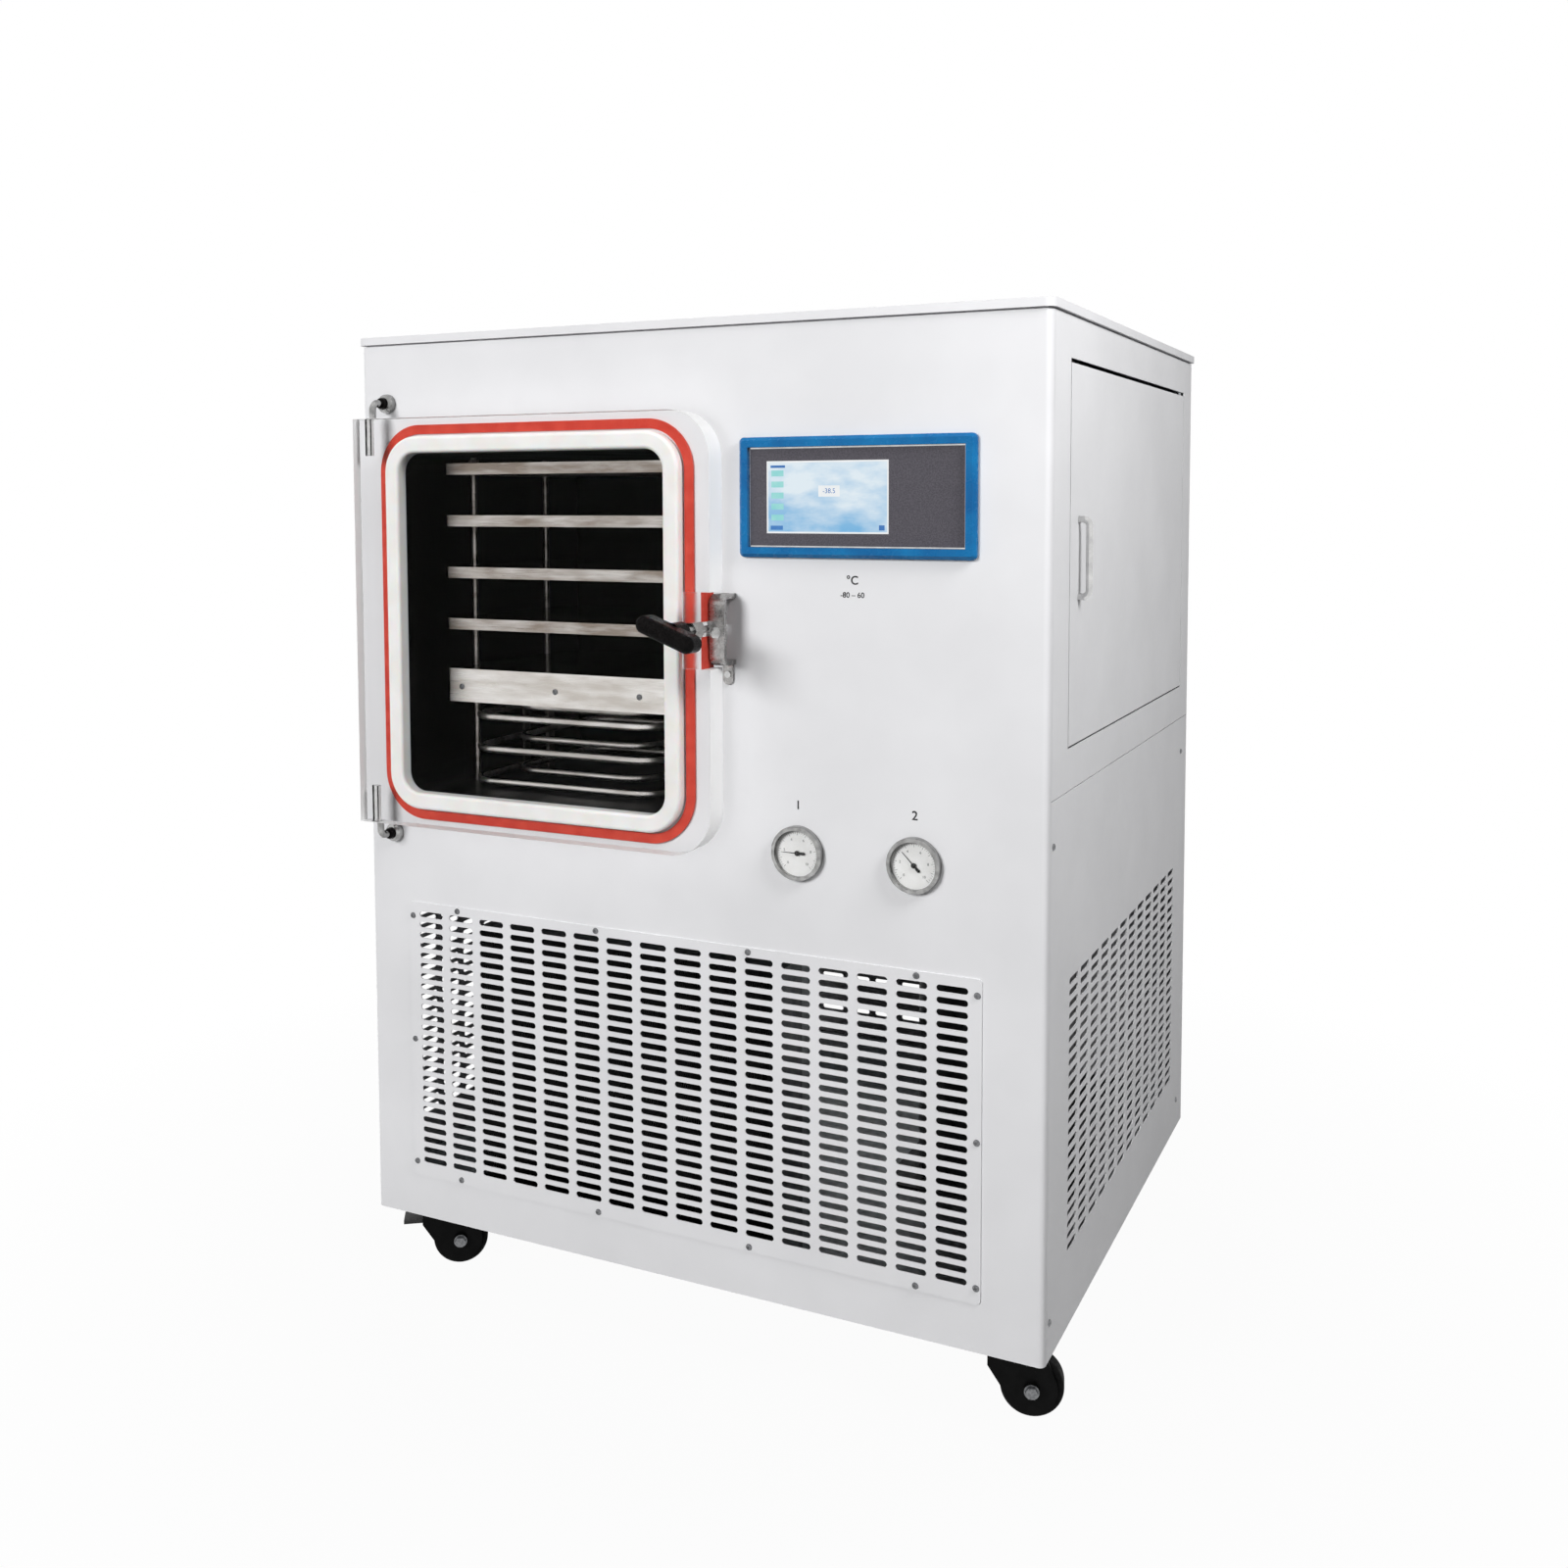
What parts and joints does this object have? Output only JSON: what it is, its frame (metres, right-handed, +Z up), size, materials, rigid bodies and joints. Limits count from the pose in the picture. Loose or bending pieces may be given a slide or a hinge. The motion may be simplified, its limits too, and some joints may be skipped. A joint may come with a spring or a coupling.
{
  "type": "freeze dryer",
  "caption": "Floor-standing freeze dryer: slotted metal cabinet on casters, clear clamped door over a shelved chamber, cold trap, touch screen and dial gauges.",
  "frame": {"origin": "on the floor, under the middle of the footprint", "axes": "+Z up, the door and screen face -Y, +X to the user's right"},
  "size_m": [0.989, 0.965, 1.297],
  "materials": {
    "white": "satin powder coat",
    "zinc": "zinc plated",
    "stainless": "brushed",
    "chrome": "polished",
    "foam": "matt",
    "red_rubber": "satin",
    "white_silicone": "satin",
    "clear_acrylic": "polished clear",
    "gauge_glass": "polished clear",
    "black_plastic": "satin",
    "blue_plastic": "gloss",
    "grey_plastic": "satin",
    "display": "gloss",
    "dial_white": "matt",
    "needle_black": "matt",
    "compressor_black": "satin",
    "aluminium": "mill",
    "caster_metal": "satin black",
    "caster_tyre": "matt"
  },
  "bodies": {
    "cabinet": {"front_panel": "white", "lid": "white", "rear_panel": "white", "upper_side_panels": "white", "lower_side_panels": "white", "grille_plate": "white", "base_pan": "zinc", "machine_deck": "zinc", "access_hinge_pins": "zinc", "fan_shroud": "zinc", "electrical_box": "zinc", "chamber_shell": "stainless", "shelf_1": "stainless", "shelf_2": "stainless", "shelf_3": "stainless", "shelf_4": "stainless", "shelf_base": "stainless", "shelf_rods": "stainless", "condenser_coil": "stainless", "coil_brackets": "stainless", "vacuum_port": "stainless", "latch_keeper": "stainless", "hinge_rods": "chrome", "gauge_cases": "chrome", "keeper_screws": "chrome", "grille_screws": "chrome", "panel_screws": "chrome", "chamber_insulation": "foam", "seal_backing": "red_rubber", "door_seal": "white_silicone", "gauge_glasses": "gauge_glass", "hmi_frame": "blue_plastic", "hmi_bezel": "grey_plastic", "hmi_screen": "display", "gauge_dials": "dial_white", "compressor": "compressor_black", "condenser_block": "aluminium", "caster_plates": "caster_metal"},
    "door": {"door_panel": "clear_acrylic", "door_bushes": "chrome"},
    "latch": {"handle_spindle": "chrome", "t_handle": "black_plastic", "latch_dog": "stainless"},
    "access_right": {"access_door_right": "white", "access_handle_right": "chrome"},
    "access_left": {"access_door_left": "white", "access_handle_left": "chrome"},
    "needle_left": {"gauge_needle_left": "needle_black"},
    "needle_right": {"gauge_needle_right": "needle_black"},
    "fan": {"fan_rotor": "black_plastic"},
    "swivel_front_left": {"caster_fork_front_left": "caster_metal"},
    "wheel_front_left": {"caster_wheel_front_left": "caster_tyre"},
    "swivel_front_right": {"caster_fork_front_right": "caster_metal"},
    "wheel_front_right": {"caster_wheel_front_right": "caster_tyre"},
    "swivel_rear_left": {"caster_fork_rear_left": "caster_metal"},
    "wheel_rear_left": {"caster_wheel_rear_left": "caster_tyre"},
    "swivel_rear_right": {"caster_fork_rear_right": "caster_metal"},
    "wheel_rear_right": {"caster_wheel_rear_right": "caster_tyre"},
    "brake_front_left": {"brake_pedal_front_left": "black_plastic"},
    "brake_rear_left": {"brake_pedal_rear_left": "black_plastic"}
  },
  "joints": [
    {"name": "door_hinge", "type": "hinge", "parent": "cabinet", "child": "door", "pos_m": [-0.434, -0.3835, 0.916], "axis": [0, 0, -1], "range_deg": [0, 110]},
    {"name": "handle_turn", "type": "hinge", "parent": "door", "child": "latch", "pos_m": [0.062, -0.3675, 0.925], "axis": [0, 1, 0], "range_deg": [0, 90]},
    {"name": "access_right_hinge", "type": "hinge", "parent": "cabinet", "child": "access_right", "pos_m": [0.4715, 0.3645, 1.0135], "axis": [0, 0, 1], "range_deg": [0, 100]},
    {"name": "access_left_hinge", "type": "hinge", "parent": "cabinet", "child": "access_left", "pos_m": [-0.4715, 0.3645, 1.0135], "axis": [0, 0, -1], "range_deg": [0, 100]},
    {"name": "needle_left_turn", "type": "hinge", "parent": "cabinet", "child": "needle_left", "pos_m": [0.172, -0.3555, 0.658], "axis": [0, -1, 0], "range_deg": [-225, 45]},
    {"name": "needle_right_turn", "type": "hinge", "parent": "cabinet", "child": "needle_right", "pos_m": [0.32, -0.3555, 0.658], "axis": [0, -1, 0], "range_deg": [-180, 90]},
    {"name": "fan_spin", "type": "hinge", "parent": "cabinet", "child": "fan", "pos_m": [-0.1, -0.2025, 0.298], "axis": [0, 1, 0], "continuous": true},
    {"name": "swivel_front_left_turn", "type": "hinge", "parent": "cabinet", "child": "swivel_front_left", "pos_m": [-0.4175, -0.2925, 0.091], "axis": [0, 0, 1], "continuous": true},
    {"name": "wheel_front_left_spin", "type": "hinge", "parent": "swivel_front_left", "child": "wheel_front_left", "pos_m": [-0.39456, -0.27644, 0.0375], "axis": [0.5736, -0.8192, 0], "continuous": true},
    {"name": "swivel_front_right_turn", "type": "hinge", "parent": "cabinet", "child": "swivel_front_right", "pos_m": [0.4175, -0.2925, 0.091], "axis": [0, 0, 1], "continuous": true},
    {"name": "wheel_front_right_spin", "type": "hinge", "parent": "swivel_front_right", "child": "wheel_front_right", "pos_m": [0.44455, -0.28525, 0.0375], "axis": [0.2588, -0.9659, 0], "continuous": true},
    {"name": "swivel_rear_left_turn", "type": "hinge", "parent": "cabinet", "child": "swivel_rear_left", "pos_m": [-0.4175, 0.3775, 0.091], "axis": [0, 0, 1], "continuous": true},
    {"name": "wheel_rear_left_spin", "type": "hinge", "parent": "swivel_rear_left", "child": "wheel_rear_left", "pos_m": [-0.44381, 0.38708, 0.0375], "axis": [0.342, 0.9397, 0], "continuous": true},
    {"name": "swivel_rear_right_turn", "type": "hinge", "parent": "cabinet", "child": "swivel_rear_right", "pos_m": [0.4175, 0.3775, 0.091], "axis": [0, 0, 1], "continuous": true},
    {"name": "wheel_rear_right_spin", "type": "hinge", "parent": "swivel_rear_right", "child": "wheel_rear_right", "pos_m": [0.39212, 0.36567, 0.0375], "axis": [-0.4226, 0.9063, 0], "continuous": true},
    {"name": "brake_front_left_lift", "type": "hinge", "parent": "swivel_front_left", "child": "brake_front_left", "pos_m": [-0.43061, -0.30168, 0.067], "axis": [-0.5736, 0.8192, 0], "range_deg": [0, 20]},
    {"name": "brake_rear_left_lift", "type": "hinge", "parent": "swivel_rear_left", "child": "brake_rear_left", "pos_m": [-0.40247, 0.37203, 0.067], "axis": [-0.342, -0.9397, 0], "range_deg": [0, 20]}
  ]
}
